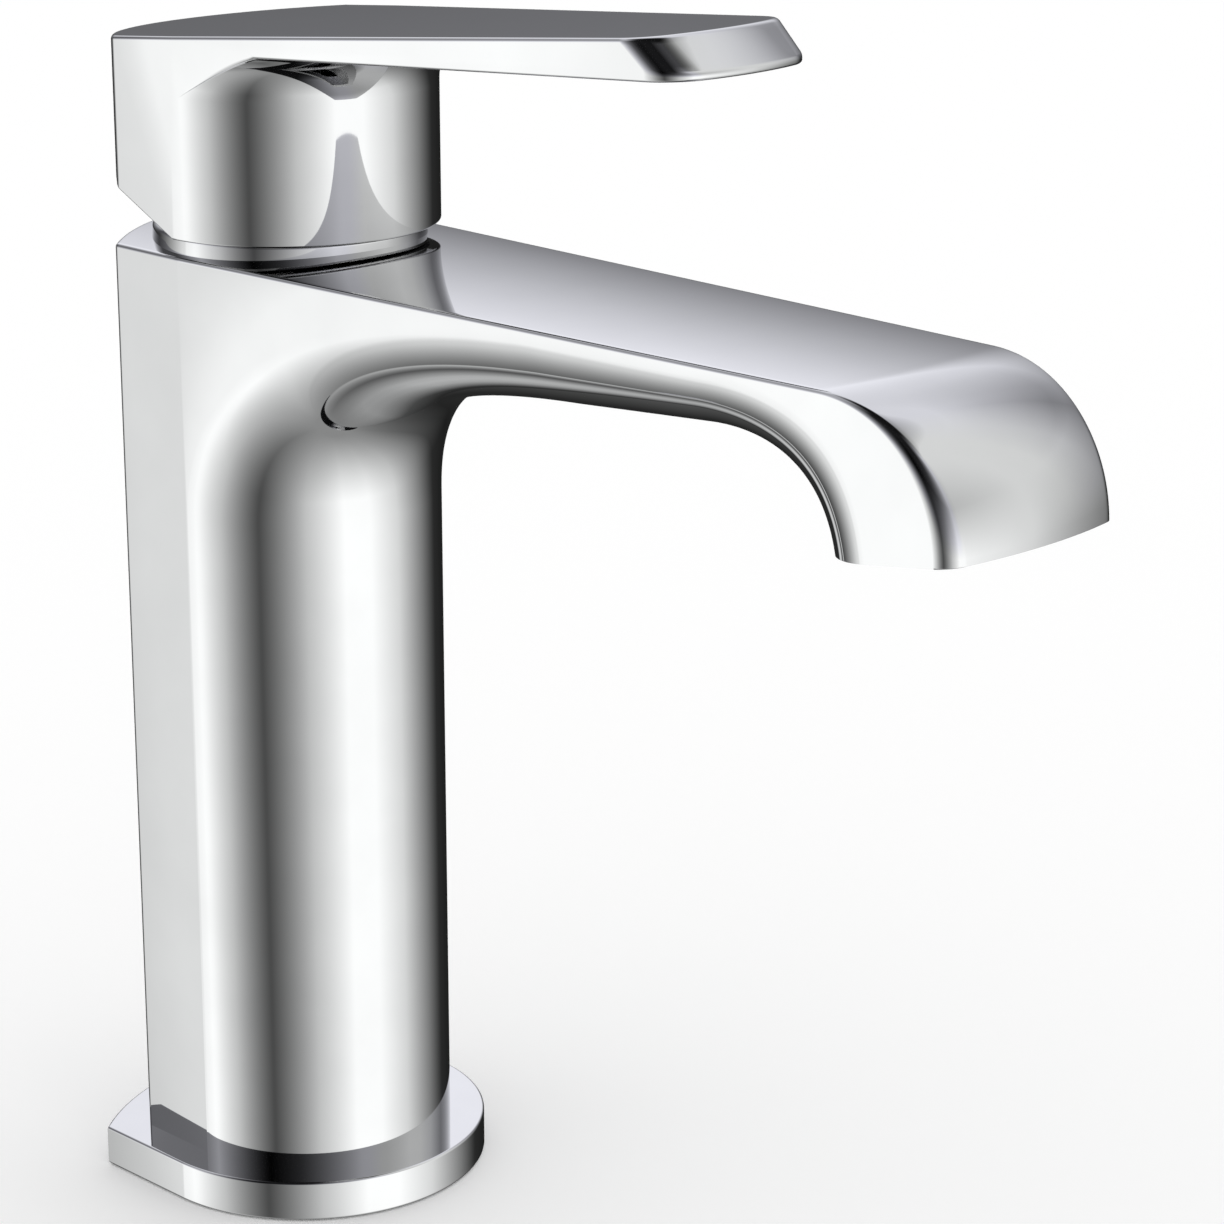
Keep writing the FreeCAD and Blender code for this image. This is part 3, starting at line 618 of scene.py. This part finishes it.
def foot_plate():
    skin = Skin()
    radius = COLUMN_RADIUS + BASE_MARGIN
    last = math.pi / 2 - SIDE_LEAN
    turn_x = radius * math.tan(SIDE_LEAN / 2)
    plan = [(turn_x, -radius)]
    plan += [(radius * math.cos(turn), radius * math.sin(turn)) for turn in spread(-last, last, PLATE_STEPS)]
    far_turn = len(plan)
    plan.append((turn_x, radius))
    plan += back_line(BASE_CORNER, radius, COLUMN_BACK + BASE_MARGIN, PLATE_BACK_STEPS)[::-1]
    low = [(x, y, 0.0) for x, y in plan]
    high = [(x, y, BASE_THICKNESS) for x, y in plan]
    skin.tube([low, high])
    profile = ((GROOVE_OUT, 0.0), (GROOVE_OUT, GROOVE_TOP), (GROOVE_IN, GROOVE_TOP), (GROOVE_IN, 0.0),
               (BASE_BORE, 0.0), (BASE_BORE, BASE_THICKNESS))
    hollow = [circle(r, (0, 0, z), PLATE_STEPS) for r, z in profile]
    skin.tube(hollow)
    for i in (0, far_turn):
        skin.crease(low[i], high[i])
    skin.round_edge(low + low[:1], PLATE_LOW_ROUND)
    skin.round_edge(high + high[:1], PLATE_HIGH_ROUND)
    return skin.build("foot_plate", [[low, hollow[0]], [high, hollow[-1]]])


def trim_collar():
    skin = Skin()
    top = BODY_TOP + TRIM_HEIGHT
    shoulder = [(TRIM_RADIUS - inward, top - below) for inward, below in TRIM_SHOULDER]
    skin.lathe([(TRIM_BORE, BODY_TOP), (TRIM_RADIUS, BODY_TOP), *shoulder, (TRIM_LIP_BORE, top),
                (TRIM_LIP_BORE, top - TRIM_LIP), (TRIM_BORE, top - TRIM_LIP), (TRIM_BORE, BODY_TOP)],
               TRIM_STEPS)
    return skin.build("trim_collar")


def plug_cap():
    skin = Skin()
    out = HANDLE_BACK + PLUG_PROUD
    shoulder = [(PLUG_RADIUS - inward, out - below) for inward, below in PLUG_SHOULDER]
    skin.lathe([(0.0, PLUG_INNER), (PLUG_RADIUS, PLUG_INNER), *shoulder, (0.0, out + PLUG_DOME)],
               PLUG_STEPS, centre=(0, 0, SCREW_HEIGHT), axis=(-1, 0, 0))
    return skin.build("plug_cap")


dressed = {
    "body": (faucet_body(), "mixer_body"),
    "handle": (mixer_handle(), "lever_unit"),
    "base_plate": (foot_plate(), "mixer_body"),
    "trim_ring": (trim_collar(), "mixer_body"),
    "screw_plug": (plug_cap(), "lever_unit"),
}
for node, (piece, body) in dressed.items():
    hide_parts(node)
    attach(piece, body)


class Value:
    """A shader socket that takes part in arithmetic; any other node comes from add."""

    def __init__(self, tree, socket):
        self.tree = tree
        self.socket = socket

    @staticmethod
    def link(tree, socket, value):
        if isinstance(value, Value):
            tree.links.new(value.socket, socket)
        else:
            socket.default_value = value

    @staticmethod
    def add(tree, kind, settings=None, output=0, **inputs):
        node = tree.nodes.new("ShaderNode" + kind)
        for key, value in (settings or {}).items():
            if key == "stops":
                ramp = node.color_ramp
                while len(ramp.elements) < len(value):
                    ramp.elements.new(0.5)
                for element, (at, colour) in zip(ramp.elements, value):
                    element.position = at
                    element.color = (*colour, 1)
            else:
                setattr(node, key, value)
        for key, value in inputs.items():
            key = int(key[1:]) if key[0] == "i" and key[1:].isdigit() else key.replace("_", " ")
            Value.link(tree, node.inputs[key], value)
        return Value(tree, node.outputs[output])

    def maths(self, operation, other, flip=False):
        a, b = (other, self) if flip else (self, other)
        return Value.add(self.tree, "Math", {"operation": operation}, i0=a, i1=b)

    def __add__(self, other):
        return self.maths("ADD", other)

    def __radd__(self, other):
        return self.maths("ADD", other, True)

    def __sub__(self, other):
        return self.maths("SUBTRACT", other)

    def __rsub__(self, other):
        return self.maths("SUBTRACT", other, True)

    def __mul__(self, other):
        return self.maths("MULTIPLY", other)

    def __rmul__(self, other):
        return self.maths("MULTIPLY", other, True)


def new_material(name):
    material = bpy.data.materials.new(name)
    material.use_nodes = True
    tree = material.node_tree
    tree.nodes.clear()
    return material, tree


def finish_material(tree, **inputs):
    shader = Value.add(tree, "BsdfPrincipled", **inputs)
    output = tree.nodes.new("ShaderNodeOutputMaterial")
    tree.links.new(shader.socket, output.inputs["Surface"])


def object_place(tree):
    return Value.add(tree, "TexCoord", output="Object")


def axes(tree, place):
    return [Value.add(tree, "SeparateXYZ", output=axis, Vector=place) for axis in "XYZ"]


def speckle(tree, scale):
    return Value.add(tree, "TexNoise", Vector=object_place(tree), Scale=scale, Detail=3.0, Roughness=0.55)


def blend(tree, dark, light, pattern):
    return Value.add(tree, "ValToRGB", {"stops": [(0.3, dark), (0.7, light)]}, Fac=pattern)


CHROME_LOW = (0.57, 0.57, 0.573)
CHROME_HIGH = (0.60, 0.60, 0.603)
# Painted shade: near-black colour for the inside of the handle's hollow, where shade falls.
HOLLOW_SHADE = (0.02, 0.02, 0.022, 1)
HOLLOW_RADIUS = 19.4 * MM
HOLLOW_LOW = 136.65 * MM
HOLLOW_HIGH = 156 * MM


def polished_chrome(tree):
    """Bright chrome plate with the faintest haze of handling, and painted shade: near-black colour inside the
    handle's hollow, where shade falls.
    """
    haze = speckle(tree, scale=60.0)
    x, y, z = axes(tree, object_place(tree))
    reach = (x * x + y * y).maths("POWER", 0.5)
    level = z.maths("GREATER_THAN", HOLLOW_LOW) * z.maths("LESS_THAN", HOLLOW_HIGH)
    inside = reach.maths("LESS_THAN", HOLLOW_RADIUS) * level
    tint = blend(tree, CHROME_LOW, CHROME_HIGH, haze)
    # Painted shade: inside the hollow, the chrome's colour is swapped for near black, and the surface is made
    # rougher.
    shaded_tint = Value.add(tree, "MixRGB", output="Color", Fac=inside, Color1=tint, Color2=HOLLOW_SHADE)
    finish_material(tree, Base_Color=shaded_tint, Roughness=0.02 + 0.02 * haze + 0.4 * inside, Metallic=1.0)


def turned_metal(tree, dark, light, roughness):
    """Machined metal with fine turning marks round the upright axis."""
    grain = speckle(tree, scale=240.0)
    marks = Value.add(tree, "TexWave", {"wave_type": "BANDS", "bands_direction": "Z"},
                      Vector=object_place(tree), Scale=900.0, Distortion=1.5, Detail=2.0)
    tint = blend(tree, dark, light, grain)
    ridge = Value.add(tree, "Bump", Height=marks, Strength=0.15, Distance=0.0001)
    finish_material(tree, Base_Color=tint, Roughness=roughness + 0.12 * grain, Metallic=1.0, Normal=ridge)


def moulded(tree, dark, light, roughness, texture, depth):
    """Moulded plastic, ceramic or rubber with its fine surface texture."""
    grain = speckle(tree, texture)
    tint = blend(tree, dark, light, speckle(tree, scale=90.0))
    pores = Value.add(tree, "Bump", Height=grain, Strength=depth, Distance=0.0001)
    finish_material(tree, Base_Color=tint, Roughness=roughness + 0.15 * grain, Normal=pores)


finishes = {
    "polished_chrome": (polished_chrome,),
    "brass_fitting": (turned_metal, (0.60, 0.43, 0.19), (0.69, 0.52, 0.26), 0.22),
    "stainless_steel": (turned_metal, (0.50, 0.49, 0.47), (0.60, 0.59, 0.57), 0.24),
    "cartridge_plastic": (moulded, (0.70, 0.70, 0.67), (0.78, 0.78, 0.75), 0.38, 900.0, 0.2),
    "rotor_plastic": (moulded, (0.20, 0.21, 0.23), (0.27, 0.28, 0.30), 0.40, 900.0, 0.2),
    "stop_plastic": (moulded, (0.58, 0.13, 0.08), (0.68, 0.18, 0.11), 0.38, 900.0, 0.2),
    "ceramic": (moulded, (0.76, 0.74, 0.69), (0.84, 0.82, 0.77), 0.18, 1600.0, 0.08),
    "seal_rubber": (moulded, (0.018, 0.018, 0.019), (0.035, 0.035, 0.036), 0.55, 700.0, 0.35),
    "aerator_plastic": (moulded, (0.62, 0.64, 0.66), (0.72, 0.74, 0.76), 0.34, 900.0, 0.15),
}
materials = {}
for slot_name, (paint, *look) in finishes.items():
    materials[slot_name], tree = new_material(slot_name + "_finish")
    paint(tree, *look)
for piece, _ in dressed.values():
    piece.data.materials.append(materials["polished_chrome"])
for name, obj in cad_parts.items():
    if name not in dressed:
        for material_slot in obj.material_slots:
            material_slot.material = materials[material_slot.material.name]

# The camera fitted to the photo, in metres and degrees.
CAMERA_PLACE = (0.38221, -0.32664, 0.23513)
CAMERA_TILT = 17.112
CAMERA_TURN = 44.537
camera_data = bpy.data.cameras.new("camera")
camera_data.sensor_width = 36.0
camera_data.lens = 110.893
camera = bpy.data.objects.new("camera", camera_data)
camera.location = CAMERA_PLACE
camera.rotation_euler = (math.radians(90 - CAMERA_TILT), 0, math.radians(CAMERA_TURN))
bpy.context.collection.objects.link(camera)
bpy.context.scene.camera = camera


def compass(degrees):
    """Place of a horizontal direction on a ramp that runs once round the studio."""
    return degrees / 360 + 0.5


def grey(level):
    return level, level, level


def studio_world():
    """Soft panels and dark flags round the object for the chrome to reflect.

    The camera sees a white backdrop, and even light falls on what isn't chrome.
    """
    world = bpy.data.worlds.new("studio")
    world.use_nodes = True
    tree = world.node_tree
    tree.nodes.clear()
    x, y, z = axes(tree, Value.add(tree, "TexCoord", output="Generated"))
    round_about = y.maths("ARCTAN2", x) * (1 / math.tau) + 0.5
    height = z.maths("ARCSINE", 0.0) * (180 / math.pi)

    def panels(*stops):
        ramp = [(compass(at), grey(level)) for at, level in stops]
        return Value.add(tree, "ValToRGB", {"stops": ramp}, Fac=round_about)

    def climb(low, high):
        return Value.add(tree, "MapRange", {"clamp": True}, Value=height, From_Min=low, From_Max=high)

    level = panels((-180, 0.22), (-150, 0.72), (-142, 0.85), (-138.2, 0.87), (-137.2, 0.955), (-129.8, 0.985),
                   (-127.4, 1.0), (-123.3, 0.98), (-102, 0.75), (-71, 0.29), (-35, 0.75), (-5, 1.0),
                   (18, 1.0), (45, 0.835), (75, 0.48), (98, 0.17), (120, 0.125), (165, 0.17), (180, 0.22))
    upper = panels((-180, 0.3), (-155, 0.3), (-137, 0.576), (-125, 0.69), (-100, 0.386), (-76, 0.05),
                   (-51, 0.2), (-2, 0.67), (21, 0.71), (46, 0.82), (60, 0.81), (75, 0.72), (94, 0.49),
                   (104, 0.58), (120, 0.79), (135, 0.9), (155, 0.88), (168, 0.6), (180, 0.3))
    ceiling = panels((-180, 0.77), (-125, 0.6), (-100, 0.12), (-45, 0.12), (-5, 0.72), (30, 0.83),
                     (180, 0.83))
    floor_tone, zenith_tone = 0.53, 0.1
    tone = floor_tone + (level - floor_tone) * climb(-82, -26)
    tone = tone + (upper - tone) * climb(-8, 22)
    tone = tone + (ceiling - tone) * climb(26, 52)
    tone = tone + (zenith_tone - tone) * climb(57, 75)
    display_gamma = 2.2
    glow = tone.maths("POWER", display_gamma) * (1 / CHROME_HIGH[1])
    path = tree.nodes.new("ShaderNodeLightPath")
    seen = Value(tree, path.outputs["Is Camera Ray"])
    mirrored_ray = Value(tree, path.outputs["Is Glossy Ray"])
    even_light = 1.0
    # The studio is faintly bluer above the horizon, except in one sector.
    lift = climb(-7, 1) * panels((-180, 1.0), (5, 1.0), (18, 0.0), (60, 0.0), (95, 1.0), (180, 1.0))
    channels = {}
    for channel, low_share, gain in (("Red", 0.994, -0.022), ("Green", 1.006, -0.026), ("Blue", 1.0, 0.05)):
        light = even_light + (glow * (low_share + gain * lift) - even_light) * mirrored_ray
        channels[channel] = light + (1.0 - light) * seen
    background = Value.add(tree, "Background", Color=Value.add(tree, "CombineColor", **channels))
    output = tree.nodes.new("ShaderNodeOutputWorld")
    tree.links.new(background.socket, output.inputs["Surface"])
    bpy.context.scene.world = world


def studio_floor():
    """White floor just below the foot plate, which the chrome doesn't reflect."""
    drop = 0.0002
    bm = bmesh.new()
    bmesh.ops.create_grid(bm, x_segments=8, y_segments=8, size=3.0)
    mesh = bpy.data.meshes.new("studio_floor")
    bm.to_mesh(mesh)
    bm.free()
    floor = bpy.data.objects.new("studio_floor", mesh)
    floor.location.z = -drop
    bpy.context.collection.objects.link(floor)
    material, tree = new_material("pale_floor")
    finish_material(tree, Base_Color=(1, 1, 1, 1), Roughness=1.0, Specular_IOR_Level=0.0)
    mesh.materials.append(material)
    floor.visible_glossy = False


studio_world()
studio_floor()
bpy.context.scene.view_settings.view_transform = "Standard"
